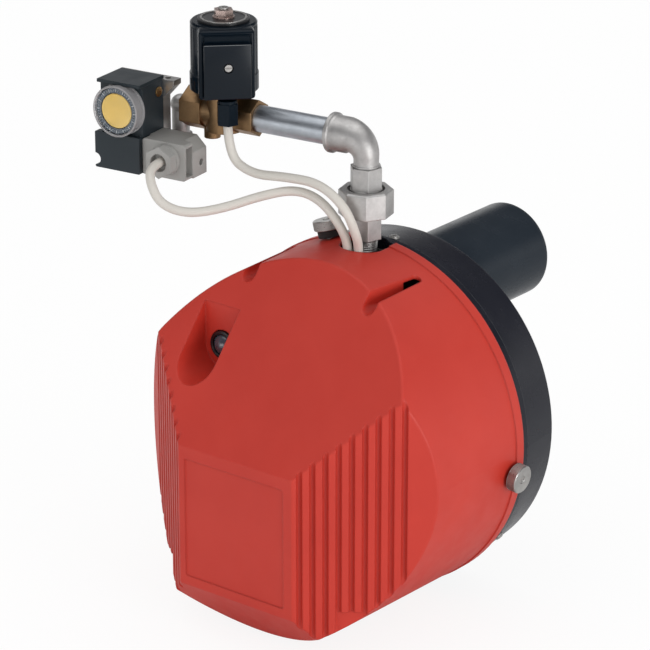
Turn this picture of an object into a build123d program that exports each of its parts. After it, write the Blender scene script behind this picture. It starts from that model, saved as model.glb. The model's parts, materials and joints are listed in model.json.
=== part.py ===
"""Monoblock gas burner: red hood, black fan housing, blast tube and gas train, built piece by piece.

Millimetres. +Z is up and the blast tube points along +Y. The pieces are drawn about the centre of
the hood's rear rim, and stored about the point where the blast tube leaves the housing.
"""
import os
from math import cos, pi, radians, sin, sqrt, tan

from build123d import *

os.makedirs("parts", exist_ok=True)

RUN = 0.05                 # radial clearance of a running fit
SLIDE = 0.3                # radial clearance of parts that only drop in

# hood
HOOD_R = 142.2             # outer radius just in front of the rim
HOOD_DRAFT = 0.018         # radius lost per millimetre of length
HOOD_L = 174.5             # rear rim to label panel
RIM_R = HOOD_R + 0.8
RIM_W = 9.0
SLOPE_Z = 11.3             # top edge of the label panel
SLOPE_K = 1.197            # rise of the sloped face per millimetre of depth
PANEL_HALF = 55.4
PANEL_LOW = -104.0
CHIN_K = 0.8               # depth gained per millimetre below the panel
SIDE_ANGLE = 51.0          # the ribbed side faces, from straight ahead
HOOD_WALL = 3.0
HOOD_EDGE = 2.5            # rounding of the moulded ridges
RIB_WALL = 6.6             # thicker wall behind the grooves
GROOVE_FIRST = 5.7
GROOVE_PITCH = 9.8
GROOVE_COUNT = 9
GROOVE_R = 2.2
GROOVE_DEPTH = 3.2
SLOT_SPOTS = {1: 56.0, -1: 60.6}    # middle of the right and of the left carry slot
SLOT_W = 12.0              # width at the mouth
SLOT_TIP = 7.4             # width at the rear end
SLOT_WALL = 2.5
SLOT_MOUTH = -78.0
SLOT_HOLE = 14.0           # the last stretch opens into the hood
SLOT_FLOOR = HOOD_R - 25.7
SLOT_END = -22.5
POCKET_X = -72.0
POCKET_R = 17.7
POCKET_TOP = 99.3
POCKET_BOTTOM = 46.4
POCKET_Y = 74.1 - HOOD_L    # back wall of the button recess
BUTTON_Z = 65.8
BEZEL_R = 11.7
NOTCH_R = 18.6

# fan housing
RING_R = HOOD_R - 1.0
RING_BORE = RING_R - 9.7
RING_STEP = 8.0            # width of the raised band next to the hood
RING_DEPTH = 50.4
REAR_WALL = 3.5
SCROLL_T = 2.6             # wall of the fan's scroll
SPIGOT_R = HOOD_R - HOOD_WALL - 0.2
SPIGOT = 6.0
PLATE_Y = 4.0              # front face of the inner plate
PLATE_T = 3.0
PLATE_RIM_Y = 18.0         # how far back the plate's rim reaches
KNOB_Y = -12.5
KNOB_ANGLES = {"right": -6.5, "top": 104.8, "lower": 233.0}
KNOB_LIFT = {"right": 2.2, "top": 7.0, "lower": 2.2}
KNOB_SHANK = 3.0
KNOB_R = 11.2
KNOB_T = 8.0
RIM_SCREW_ANGLES = (87.0, 207.0, 323.0)
RIM_SCREW_Y = 12.5
SCREW_SHANK = 2.0
SCREW_SEAT = RING_R - 1.5   # spot faces under the rim screws

# blast tube and combustion head
TUBE_Z = 82.8
TUBE_R = 39.0
TUBE_WALL = 1.6
TUBE_END = 177.5
COLLAR_R = 46.5
GASKET_T = 5.0
BOLT_X = 104.0
BOLT_Z = 52.0
GAS_TUBE_R = 8.0
HEAD_Y = 150.0

# fan, shutter and motor share one axis
FAN_Z = -50.0
FAN_R = 62.0
SHAFT_R = 4.0
SHUTTER_R = 47.0
BOSS_R = 12.0
MOTOR_R = 46.0
MOTOR_FRONT = -108.0
MOTOR_FLANGE_Y = -26.0
MOTOR_FLANGE_T = 8.0
POST_R = 56.0
POST_ANGLES = (30, 150, 270)
BEARING_R = 11.0

# gas line
INLET_SCREW_R = 19.0       # screws of the gas manifold
INLET_SCREW_ANGLES = (45, 135, 225, 315)
INLET_SHANK = 1.5
MANIFOLD_FACE = -1.0
RISER_Y = -14.0
NIPPLE_R = 9.2
HEX_R = 12.8
LINE_BORE = 7.5
LINE_Z = 226.2
TURN = 7.3                 # the gas train is turned a little about the riser
PIPE_R = 10.65
BEND = 15.5
ELBOW_R = 11.6
ELBOW_BORE = 6.5
SOCKET_X = -30.5           # mouth of the elbow's socket
PIPE_END = -17.5
TAIL_TOP = 204.0
TAIL_FLOOR = 190.0         # seat of the elbow's leg inside the union tail
VALVE_X = -128.4
INLET_X = -147.5           # gas inlet on the valve's rear
INLET_R = 9.3
COIL_FACING = 44.5         # the coil's terminal box looks this far right of straight ahead
COIL_R = 26.3
COIL_LOW = 245.5
COIL_TOP = 301.0
GUIDE_R = 7.2
PLUNGER_R = 6.0
PORT_R = 5.6               # small fittings of the pressure line
LEG_X = -169.5             # upright leg of the small elbow
SWITCH_BACK = -9.5

CABLE_R = 3.65
CABLE_TOP = 122.0          # upper face of the terminal box inside the hood
TERMINAL_T = 15.5

EX = Vector(cos(radians(TURN)), sin(radians(TURN)), 0)
EY = Vector(-sin(radians(TURN)), cos(radians(TURN)), 0)
EZ = Vector(0, 0, 1)
RISER = Vector(0, RISER_Y, 0)


def save(builder, name):
    """Export a piece in the stored frame, whose origin is the centre of the boiler seat."""
    seat = Vector(0, RING_DEPTH, TUBE_Z)
    stored = builder.part.moved(Location(-seat))
    stored.label = name
    export_step(stored, f"parts/{name}.step")


def rear(y):
    """Plane facing the front at depth y; extrusions grow towards the hood."""
    return Plane.XZ.offset(-y)


def level(z):
    return Plane.XY.offset(z)


def train_point(x, y, z):
    return RISER + EX * x + EY * y + EZ * z


def train_up(x, y, z):
    return Plane(origin=train_point(x, y, z), x_dir=EX, z_dir=EZ)


def train_along(x, y, z):
    return Plane(origin=train_point(x, y, z), x_dir=EY, z_dir=EX)


def train_front(x, y, z):
    return Plane(origin=train_point(x, y, z), x_dir=EX, z_dir=EY * -1)


def radial(angle, radius, y):
    """Plane on the body's round side, looking outwards."""
    out = Vector(cos(radians(angle)), 0, sin(radians(angle)))
    return Plane(origin=out * radius + Vector(0, y, 0), x_dir=Vector(0, 1, 0), z_dir=out)


def polar(radius, turn):
    return (radius * cos(radians(turn)), radius * sin(radians(turn)))


def disc(plane, radius, height, mode=Mode.ADD):
    with BuildSketch(plane) as sketch:
        Circle(radius)
    extrude(sketch.sketch, amount=height, mode=mode)


def hexagon(plane, radius, height, turn=0.0, sides=6):
    with BuildSketch(plane) as sketch:
        RegularPolygon(radius, sides, rotation=turn)
    extrude(sketch.sketch, amount=height)


def block(plane, width, depth, height, mode=Mode.ADD, corner=0.0):
    with BuildSketch(plane) as sketch:
        if corner:
            RectangleRounded(width, depth, corner)
        else:
            Rectangle(width, depth)
    extrude(sketch.sketch, amount=height, mode=mode)


def at(x, z, y):
    """Plane facing the front, centred on x and z, at depth y."""
    return Plane(origin=(x, y, z), x_dir=(1, 0, 0), z_dir=(0, -1, 0))


# hood
def slope_y(z):
    """Depth of the hood's sloped face at a height."""
    return -HOOD_L + (z - SLOPE_Z) / SLOPE_K


def is_ridge(edge):
    """True for the hood's moulded ridges, so not for its rear edge or the seam of its round side."""
    middle = edge.center()
    return middle.Y < -1 and abs(middle.Z) > 0.01


def hood_form(wall, side_wall, edge_radius=0.0):
    """The hood's outer shape, or its cavity when a wall is given."""
    front = -HOOD_L + wall
    lift = wall * sqrt(1 + SLOPE_K ** 2)
    chin = wall * sqrt(1 + CHIN_K ** 2)
    run = tan(radians(SIDE_ANGLE))
    side = side_wall * sqrt(1 + run ** 2)
    half = PANEL_HALF + wall * run - side
    reach = PANEL_HALF + (HOOD_L - 60) * run - side
    back = 5.0 if wall else 0.0
    with BuildPart() as form:
        with BuildSketch(Plane.XY):
            with BuildLine():
                Polyline(
                    (0, back),
                    (HOOD_R - wall + HOOD_DRAFT * back, back),
                    (HOOD_R - wall - HOOD_DRAFT * (HOOD_L - wall), front),
                    (0, front),
                    close=True,
                )
            make_face()
        revolve(axis=Axis.Y)
        with BuildSketch(Plane.YZ.offset(-200)):
            with BuildLine():
                Polyline(
                    (front, SLOPE_Z - lift + SLOPE_K * wall),
                    (10, SLOPE_Z - lift + SLOPE_K * (HOOD_L + 10)),
                    (10, -200),
                    (-HOOD_L + chin + CHIN_K * (PANEL_LOW + 200), -200),
                    (front, PANEL_LOW + (chin - wall) / CHIN_K),
                    close=True,
                )
            make_face()
        extrude(amount=400, mode=Mode.INTERSECT)
        with BuildSketch(Plane.XY.offset(-200)):
            with BuildLine():
                Polyline(
                    (-half, front),
                    (half, front),
                    (reach, -60),
                    (reach, 10),
                    (-reach, 10),
                    (-reach, -60),
                    close=True,
                )
            make_face()
        extrude(amount=400, mode=Mode.INTERSECT)
        if edge_radius:
            ridges = form.edges().filter_by(is_ridge)
            fillet(ridges, edge_radius)
    return form.part


def pocket(grow, depth):
    """Prism of the button recess, grown by a wall thickness for its inside."""
    with BuildPart() as well:
        radius = POCKET_R + grow
        low = POCKET_BOTTOM + POCKET_R
        with BuildSketch(at(POCKET_X, low, POCKET_Y + depth)):
            Circle(radius)
            with Locations((0, (POCKET_TOP + grow - low) / 2)):
                Rectangle(2 * radius, POCKET_TOP + grow - low)
        extrude(amount=90)
    return well.part


def carry_slot(sign, grow, end):
    """One of the two long channels in the hood's top, round-bottomed and narrower at its rear."""
    middle = sign * SLOT_SPOTS[sign]
    radius = SLOT_W / 2 + grow
    tip = SLOT_TIP / 2 + grow
    with BuildPart() as channel:
        with BuildSketch(at(middle, SLOT_FLOOR + SLOT_W / 2, end)):
            Circle(radius)
            with Locations((0, 20)):
                Rectangle(2 * radius, 40)
        extrude(amount=110)
        with BuildSketch(level(SLOT_FLOOR - 10)):
            with Locations((middle, SLOT_MOUTH - 30)):
                Rectangle(2 * radius, 60)
            with Locations((middle + sign * (SLOT_W - SLOT_TIP) / 2, SLOT_END + grow - tip)):
                Circle(tip)
            make_hull()
        extrude(amount=60, mode=Mode.INTERSECT)
    return channel.part


def side_grooves(sign):
    """Upright round-bottomed grooves of one ribbed side face."""
    angle = radians(SIDE_ANGLE)
    with BuildPart() as cutters:
        with BuildSketch(level(-150)):
            for index in range(GROOVE_COUNT):
                run = GROOVE_FIRST + GROOVE_PITCH * index
                x = sign * (PANEL_HALF + run * sin(angle))
                y = -HOOD_L + run * cos(angle)
                turn = -sign * (90 - SIDE_ANGLE)
                with Locations(Location((x, y), -turn)):
                    with Locations((0, GROOVE_DEPTH - GROOVE_R)):
                        Circle(GROOVE_R)
                    with Locations((0, -1.5)):
                        Rectangle(2 * GROOVE_R, 2 * (GROOVE_DEPTH - GROOVE_R) + 3)
        extrude(amount=300)
    return cutters.part


def hood_piece():
    with BuildPart() as hood:
        add(hood_form(0.0, 0.0, HOOD_EDGE))
        with BuildSketch(rear(0.0)):
            Circle(RIM_R)
            Circle(HOOD_R - 1.0, mode=Mode.SUBTRACT)
        extrude(amount=RIM_W)
        cavity = hood_form(HOOD_WALL, RIB_WALL) - pocket(HOOD_WALL, HOOD_WALL)
        for sign in SLOT_SPOTS:
            cavity -= carry_slot(sign, SLOT_WALL, SLOT_END - SLOT_HOLE)
        add(cavity, mode=Mode.SUBTRACT)
        add(pocket(0.0, 0.0), mode=Mode.SUBTRACT)
        for sign in SLOT_SPOTS:
            add(carry_slot(sign, 0.0, SLOT_END), mode=Mode.SUBTRACT)
            add(side_grooves(sign), mode=Mode.SUBTRACT)
            foot_recess(sign)
        disc(at(POCKET_X, BUTTON_Z, POCKET_Y + 8), BEZEL_R + 0.5, 16, Mode.SUBTRACT)
        with BuildSketch(at(-1.5, (PANEL_LOW + SLOPE_Z) / 2 - 1.2, -HOOD_L + 1.0)):
            RectangleRounded(96.5, 97.7, 1.5)
        extrude(amount=4, mode=Mode.SUBTRACT)
        with BuildSketch(level(90)):
            with Locations((0, -NOTCH_R + 1.8)):
                Circle(NOTCH_R)
            with Locations((0, -(NOTCH_R - 1.8) / 2 + 2)):
                Rectangle(2 * NOTCH_R, NOTCH_R + 2.2)
        extrude(amount=80, mode=Mode.SUBTRACT)
        for angle in KNOB_ANGLES.values():
            inside = HOOD_R - 17
            disc(radial(angle, inside, KNOB_Y), KNOB_SHANK + 0.5, 25, Mode.SUBTRACT)
            block(
                radial(angle, inside, KNOB_Y / 2 + 1), abs(KNOB_Y) + 2, 2 * KNOB_SHANK + 1,
                25, Mode.SUBTRACT,
            )
    save(hood, "hood")


def foot_recess(sign):
    """Shallow latch recess at the foot of a ribbed side."""
    angle = radians(SIDE_ANGLE)
    run = 44.5
    spot = Vector(
        sign * (PANEL_HALF + run * sin(angle)), -HOOD_L + run * cos(angle), -113.0,
    )
    out = Vector(sign * cos(angle), -sin(angle), 0)
    block(
        Plane(origin=spot - out * 3.6, x_dir=(0, 0, 1), z_dir=out), 32, 20, 10,
        Mode.SUBTRACT, 2,
    )


# fan housing
def fan_housing_piece():
    with BuildPart() as housing:
        with BuildSketch(Plane.XY):
            with BuildLine():
                Polyline(
                    (RING_BORE, -SPIGOT),
                    (SPIGOT_R, -SPIGOT),
                    (SPIGOT_R, 0),
                    (RING_R, 0),
                    (RING_R, RING_STEP),
                    (RING_R - 0.9, RING_STEP + 0.8),
                    (RING_R - 4.3, RING_DEPTH - 4.4),
                    (RING_R - 7.8, RING_DEPTH),
                    (0, RING_DEPTH),
                    (0, RING_DEPTH - REAR_WALL),
                    (RING_BORE, RING_DEPTH - REAR_WALL),
                    close=True,
                )
            make_face()
        revolve(axis=Axis.Y)
        wall = RING_DEPTH - REAR_WALL
        with BuildSketch(rear(wall + 0.5)):
            with BuildLine():
                tongue = ThreePointArc((-30, 12), (-61, -14), (-72, FAN_Z))
                low = TangentArc(tongue @ 1, (0, -127.2), tangent=tongue % 1)
                right = TangentArc(low @ 1, (86, -40), tangent=low % 1)
                TangentArc(right @ 1, (84, 97), tangent=right % 1)
            trace(line_width=SCROLL_T)
            with BuildLine():
                outlet = ThreePointArc((-30, 12), (-46, 32), (-52, 60))
                TangentArc(outlet @ 1, (-84, 101), tangent=outlet % 1)
            trace(line_width=SCROLL_T)
        extrude(amount=wall + 0.5 - PLATE_Y - PLATE_T - 0.2)
        with BuildSketch(rear(PLATE_RIM_Y + 0.3)):
            Circle(RING_BORE)
            Circle(RING_BORE - 3.3, mode=Mode.SUBTRACT)
        extrude(amount=PLATE_RIM_Y - 0.7, mode=Mode.SUBTRACT)
        with BuildSketch(rear(wall + 0.5)):
            with Locations((0, TUBE_Z)):
                with GridLocations(BOLT_X, BOLT_Z, 2, 2):
                    Circle(8)
        extrude(amount=13)
        for angle in KNOB_ANGLES.values():
            foot = RING_BORE - 5.5
            block(radial(angle, foot, KNOB_Y + 2.5), 20, 18, SPIGOT_R - 0.6 - foot)
            disc(radial(angle, foot - 2, KNOB_Y), KNOB_SHANK + RUN, 20, Mode.SUBTRACT)
        for angle in RIM_SCREW_ANGLES:
            inside = radial(angle, RING_BORE - 6.5, RIM_SCREW_Y)
            disc(inside, SCREW_SHANK + SLIDE, 20, Mode.SUBTRACT)
            disc(radial(angle, SCREW_SEAT, RIM_SCREW_Y), 4.6, 5, Mode.SUBTRACT)
        disc(Plane(origin=(0, RISER_Y, RING_BORE - 6.5)), NOTCH_R, 20, Mode.SUBTRACT)
        disc(at(0, TUBE_Z, RING_DEPTH + 1), TUBE_R + RUN, 8, Mode.SUBTRACT)
        with BuildSketch(rear(RING_DEPTH + 1)):
            with Locations((0, TUBE_Z)):
                with GridLocations(BOLT_X, BOLT_Z, 2, 2):
                    Circle(3.4)
        extrude(amount=14, mode=Mode.SUBTRACT)
    save(housing, "fan_housing")


def inner_plate_piece():
    """Dished plate that closes the housing and carries motor, gas inlet and controls."""
    with BuildPart() as plate:
        disc(rear(PLATE_Y + PLATE_T), RING_BORE - 0.2, PLATE_T)
        with BuildSketch(rear(PLATE_RIM_Y)):
            Circle(RING_BORE - 0.2)
            Circle(RING_BORE - 2.8, mode=Mode.SUBTRACT)
        extrude(amount=PLATE_RIM_Y - PLATE_Y)
        disc(at(0, FAN_Z, PLATE_Y + 1), BOSS_R, 4)
        extrude(inlet_windows(PLATE_Y + PLATE_T + 1), amount=6, mode=Mode.SUBTRACT)
        disc(at(0, FAN_Z, PLATE_Y + PLATE_T + 1), SHAFT_R + 2.5, 12, Mode.SUBTRACT)
        disc(at(0, TUBE_Z, PLATE_Y + PLATE_T + 1), 11.5, 6, Mode.SUBTRACT)
        for angle in RIM_SCREW_ANGLES:
            inside = radial(angle, RING_BORE - 11.5, RIM_SCREW_Y)
            disc(inside, SCREW_SHANK + RUN, 20, Mode.SUBTRACT)
        for turn in INLET_SCREW_ANGLES:
            spot = polar(INLET_SCREW_R, turn)
            hole = at(spot[0], TUBE_Z + spot[1], PLATE_Y + PLATE_T + 1)
            disc(hole, INLET_SHANK + RUN, 6, Mode.SUBTRACT)
        lock = lever_screw_spot()
        disc(at(lock[0], lock[1], PLATE_Y + PLATE_T + 1), 1.5 + RUN, 6, Mode.SUBTRACT)
    save(plate, "inner_plate")


def inlet_windows(y):
    """Six sector openings round the shaft, used by the plate and by the shutter."""
    half = radians(14)
    inner = 17.5
    outer = 41.0
    low = (outer * cos(half), -outer * sin(half))
    high = (outer * cos(half), outer * sin(half))
    with BuildSketch() as one:
        with BuildLine():
            Polyline(
                low,
                (inner * cos(half), -inner * sin(half)),
                (inner * cos(half), inner * sin(half)),
                high,
            )
            ThreePointArc(high, (outer, 0), low)
        make_face()
    with BuildSketch(at(0, FAN_Z, y)) as windows:
        for turn in range(0, 360, 60):
            add(one.sketch, rotation=turn)
    return windows.sketch


def lever_screw_spot():
    angle = radians(224)
    return (58 * cos(angle), FAN_Z + 58 * sin(angle))


def knob_pieces():
    """Knurled thumb screws that hold the hood, each on its rubber collar."""
    for name, angle in KNOB_ANGLES.items():
        base = HOOD_R + KNOB_LIFT[name]
        with BuildPart() as knob:
            with BuildSketch(radial(angle, base, KNOB_Y)):
                Circle(KNOB_R)
            extrude(amount=KNOB_T)
            chamfer(knob.edges(), 0.5)
            disc(radial(angle, base + KNOB_T - 0.6, KNOB_Y), 3.0, 2, Mode.SUBTRACT)
            disc(radial(angle, base + KNOB_T - 1.4, KNOB_Y), 1.4, 2, Mode.SUBTRACT)
            disc(radial(angle, RING_BORE - 3.5, KNOB_Y), KNOB_SHANK, base - RING_BORE + 4)
        save(knob, f"thumb_screw_{name}")
    with BuildPart() as collars:
        for name, angle in KNOB_ANGLES.items():
            base = HOOD_R + KNOB_LIFT[name]
            foot = RIM_R + SLIDE
            with BuildSketch(radial(angle, foot, KNOB_Y)):
                Circle(9)
                Circle(KNOB_SHANK + RUN, mode=Mode.SUBTRACT)
            extrude(amount=base - foot)
    save(collars, "thumb_screw_collars")


def pan_screw(plane, shank, head, length):
    """Pan-head screw with a cross recess; the plane is the seat, looking outwards."""
    disc(plane, head, 1.4)
    disc(plane.offset(1.4), head * 0.72, 0.8)
    disc(plane.offset(-length), shank, length)
    block(plane.offset(1.2), head * 1.1, 0.9, 2, Mode.SUBTRACT)
    block(plane.offset(1.2), 0.9, head * 1.1, 2, Mode.SUBTRACT)


def screw_pieces():
    with BuildPart() as rim_screws:
        for angle in RIM_SCREW_ANGLES:
            pan_screw(radial(angle, SCREW_SEAT, RIM_SCREW_Y), SCREW_SHANK, 4.2, 11.5)
    save(rim_screws, "rim_screws")
    with BuildPart() as inlet_screws:
        for turn in INLET_SCREW_ANGLES:
            spot = polar(INLET_SCREW_R, turn)
            pan_screw(at(spot[0], TUBE_Z + spot[1], MANIFOLD_FACE), INLET_SHANK, 3.0, 6.5)
    save(inlet_screws, "manifold_screws")


# blast tube and combustion head
def blast_tube_piece():
    with BuildPart() as tube:
        bore = TUBE_R - TUBE_WALL
        with BuildSketch(Plane(origin=(0, 0, TUBE_Z), z_dir=(0, 0, 1))):
            with BuildLine():
                Polyline(
                    (bore, 47.2),
                    (TUBE_R, 47.2),
                    (TUBE_R, RING_DEPTH),
                    (COLLAR_R, RING_DEPTH),
                    (COLLAR_R, RING_DEPTH + 7),
                    (COLLAR_R - 2.5, RING_DEPTH + 9),
                    (TUBE_R + 1.2, RING_DEPTH + 18),
                    (TUBE_R, RING_DEPTH + 24),
                    (TUBE_R, TUBE_END - 1.2),
                    (TUBE_R - 0.8, TUBE_END),
                    (bore, TUBE_END),
                    close=True,
                )
            make_face()
        revolve(axis=Axis((0, 0, TUBE_Z), (0, 1, 0)))
    save(tube, "blast_tube")


def flange_gasket_piece():
    with BuildPart() as gasket:
        with BuildSketch(at(0, TUBE_Z, RING_DEPTH + GASKET_T)):
            RectangleRounded(BOLT_X + 18, BOLT_Z + 18, 9)
            Circle(COLLAR_R + 3.3)
            Circle(COLLAR_R + SLIDE, mode=Mode.SUBTRACT)
            with GridLocations(BOLT_X, BOLT_Z, 2, 2):
                Circle(4.3, mode=Mode.SUBTRACT)
        extrude(amount=GASKET_T)
    save(gasket, "flange_gasket")


def combustion_head_pieces():
    rods = ((-18, 146, 172), (18, 138, 174))
    drop = -12
    with BuildPart() as gas_tube:
        disc(at(0, TUBE_Z, HEAD_Y), GAS_TUBE_R, HEAD_Y + 4)
        disc(at(0, TUBE_Z, HEAD_Y + 1), GAS_TUBE_R - 1.5, HEAD_Y + 6, Mode.SUBTRACT)
    save(gas_tube, "gas_tube")
    with BuildPart() as nozzle:
        disc(at(0, TUBE_Z, HEAD_Y + 10), 14, 20)
        disc(at(0, TUBE_Z, HEAD_Y + 8), GAS_TUBE_R - 1, 20, Mode.SUBTRACT)
        disc(at(0, TUBE_Z, HEAD_Y), GAS_TUBE_R + RUN, 11, Mode.SUBTRACT)
        for turn in range(0, 360, 45):
            out = Vector(cos(radians(turn)), 0, sin(radians(turn)))
            hole = Plane(origin=Vector(0, HEAD_Y + 5, TUBE_Z) + out * 4, z_dir=out)
            disc(hole, 1.5, 14, Mode.SUBTRACT)
    save(nozzle, "gas_nozzle")
    with BuildPart() as swirl:
        with BuildSketch(at(0, TUBE_Z, HEAD_Y + 1.5)):
            Circle(35.5)
            Circle(14 + RUN, mode=Mode.SUBTRACT)
            with PolarLocations(25.5, 8, start_angle=11):
                Rectangle(13, 1.8, rotation=12, mode=Mode.SUBTRACT)
            with Locations((-18, drop), (18, drop)):
                Circle(5.2, mode=Mode.SUBTRACT)
        extrude(amount=1.5)
    save(swirl, "diffuser_disc")
    with BuildPart() as bracket:
        with BuildSketch(at(0, TUBE_Z, 102)):
            with Locations((0, -4)):
                RectangleRounded(52, 26, 6)
            Circle(GAS_TUBE_R + RUN, mode=Mode.SUBTRACT)
            with Locations((-18, drop), (18, drop)):
                Circle(4 + RUN, mode=Mode.SUBTRACT)
        extrude(amount=4)
    save(bracket, "electrode_bracket")
    with BuildPart() as insulators:
        for x, end, tip in rods:
            disc(at(x, TUBE_Z + drop, end), 4, end - 74)
            disc(at(x, TUBE_Z + drop, 98), 5.2, 3)
            disc(at(x, TUBE_Z + drop, end + 1), 1.25, end, Mode.SUBTRACT)
    save(insulators, "electrode_insulators")
    with BuildPart() as electrodes:
        for x, end, tip in rods:
            disc(at(x, TUBE_Z + drop, tip), 1.2, tip - 62)
    save(electrodes, "electrode_rods")


# fan, shutter and motor
def fan_pieces():
    with BuildPart() as wheel:
        disc(at(0, FAN_Z, 42), FAN_R, 1.6)
        disc(at(0, FAN_Z, 42), 10, 26)
        with BuildSketch(at(0, FAN_Z, 13)):
            Circle(FAN_R)
            Circle(FAN_R - 15, mode=Mode.SUBTRACT)
        extrude(amount=1.6)
        with BuildSketch(at(0, FAN_Z, 41)):
            with BuildLine():
                ThreePointArc((FAN_R - 14, 0), (FAN_R - 8, 3.4), (FAN_R - 0.8, 2.2))
            trace(line_width=1.3)
        blade = extrude(amount=29, mode=Mode.PRIVATE)
        for index in range(28):
            add(blade.rotate(Axis((0, 0, FAN_Z), (0, 1, 0)), index * 360 / 28))
        disc(at(0, FAN_Z, 44), SHAFT_R, 40, Mode.SUBTRACT)
    save(wheel, "fan_wheel")
    with BuildPart() as rotor:
        disc(at(0, FAN_Z, 43), SHAFT_R, 43 + 106.5)
        disc(at(0, FAN_Z, -44), 23.8, 46)
    save(rotor, "motor_rotor")


def shutter_pieces():
    angle = radians(210)
    with BuildPart() as shutter:
        with BuildSketch(at(0, FAN_Z, 3.7)):
            Circle(SHUTTER_R)
            lever_sector(188, 232, 71.0)
            Circle(BOSS_R + RUN, mode=Mode.SUBTRACT)
        extrude(amount=1.5)
        extrude(inlet_windows(5), amount=6, mode=Mode.SUBTRACT)
        with BuildSketch(at(0, FAN_Z, 5)) as slot:
            with BuildLine():
                CenterArc((0, 0), 58, 196, 28)
            trace(line_width=3.6)
            for turn in (196, 224):
                with Locations((58 * cos(radians(turn)), 58 * sin(radians(turn)))):
                    Circle(1.8)
        extrude(amount=6, mode=Mode.SUBTRACT)
        grip = (67 * cos(angle), FAN_Z + 67 * sin(angle))
        disc(at(grip[0], grip[1], 3.7), 3, 9)
    save(shutter, "air_shutter")
    with BuildPart() as lock:
        spot = lever_screw_spot()
        pan_screw(at(spot[0], spot[1], 2.0), 1.5, 3.6, 6.5)
    save(lock, "shutter_lock_screw")


def lever_sector(start, stop, radius):
    """Sector of the shutter that forms its setting lever."""
    with BuildSketch() as sector:
        with BuildLine():
            first = (radius * cos(radians(start)), radius * sin(radians(start)))
            last = (radius * cos(radians(stop)), radius * sin(radians(stop)))
            CenterArc((0, 0), radius, start, stop - start)
            Polyline(last, (0, 0), first)
        make_face()
    add(sector.sketch)


def motor_pieces():
    flange_front = MOTOR_FLANGE_Y - MOTOR_FLANGE_T
    with BuildPart() as flange:
        with BuildSketch(at(0, FAN_Z, MOTOR_FLANGE_Y)):
            Circle(48)
            with Locations(*[polar(POST_R, turn) for turn in POST_ANGLES]):
                Circle(9)
            with Locations((74, -14)):
                Circle(13)
            with Locations((48, -8)):
                Rectangle(50, 22, rotation=-10)
        extrude(amount=MOTOR_FLANGE_T)
        disc(at(0, FAN_Z, MOTOR_FLANGE_Y - 2), BEARING_R, 10, Mode.SUBTRACT)
        disc(at(0, FAN_Z, MOTOR_FLANGE_Y + 1), SHAFT_R + 1.5, 12, Mode.SUBTRACT)
        disc(at(74, FAN_Z - 14, MOTOR_FLANGE_Y + 1), 3.6, 12, Mode.SUBTRACT)
        for turn in POST_ANGLES:
            spot = polar(POST_R, turn)
            disc(at(spot[0], FAN_Z + spot[1], MOTOR_FLANGE_Y + 1), 2.2, 12, Mode.SUBTRACT)
    save(flange, "motor_flange")
    with BuildPart() as posts:
        for turn in POST_ANGLES:
            spot = polar(POST_R, turn)
            disc(at(spot[0], FAN_Z + spot[1], PLATE_Y), 5, PLATE_Y - MOTOR_FLANGE_Y)
            disc(at(spot[0], FAN_Z + spot[1], MOTOR_FLANGE_Y), 2.15, MOTOR_FLANGE_T + 3)
            hexagon(at(spot[0], FAN_Z + spot[1], flange_front), 4.6, 2.6)
    save(posts, "motor_posts")
    with BuildPart() as shell:
        disc(at(0, FAN_Z, flange_front), MOTOR_R, flange_front - MOTOR_FRONT)
        disc(at(0, FAN_Z, flange_front), MOTOR_R - 2.5, flange_front - MOTOR_FRONT - 8, Mode.SUBTRACT)
        disc(at(0, FAN_Z, MOTOR_FRONT + 9), BEARING_R, 7.5, Mode.SUBTRACT)
        with BuildSketch(at(0, FAN_Z, MOTOR_FRONT + 1)):
            with PolarLocations(28, 10):
                SlotCenterToCenter(12, 4)
        extrude(amount=2, mode=Mode.SUBTRACT)
    save(shell, "motor_shell")
    with BuildPart() as stator:
        with BuildSketch(at(0, FAN_Z, -44)):
            Circle(MOTOR_R - 2.5)
            Circle(24.3, mode=Mode.SUBTRACT)
        extrude(amount=46)
        for back in (-38, -90):
            with BuildSketch(at(0, FAN_Z, back)):
                Circle(40)
                Circle(27, mode=Mode.SUBTRACT)
            extrude(amount=6)
    save(stator, "motor_stator")
    with BuildPart() as bearings:
        for back in (MOTOR_FLANGE_Y - 2, MOTOR_FRONT + 7.5):
            with BuildSketch(at(0, FAN_Z, back)):
                Circle(BEARING_R)
                Circle(SHAFT_R + RUN, mode=Mode.SUBTRACT)
            extrude(amount=6)
    save(bearings, "motor_bearings")
    with BuildPart() as capacitor:
        disc(at(74, FAN_Z - 14, flange_front), 14.5, 56)
        fillet(capacitor.faces().sort_by(Axis.Y)[0].edges(), 2)
        disc(at(74, FAN_Z - 14, MOTOR_FLANGE_Y + 8), 3.5, 20)
        hexagon(at(74, FAN_Z - 14, MOTOR_FLANGE_Y + 5), 7, 5)
    save(capacitor, "motor_capacitor")


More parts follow.
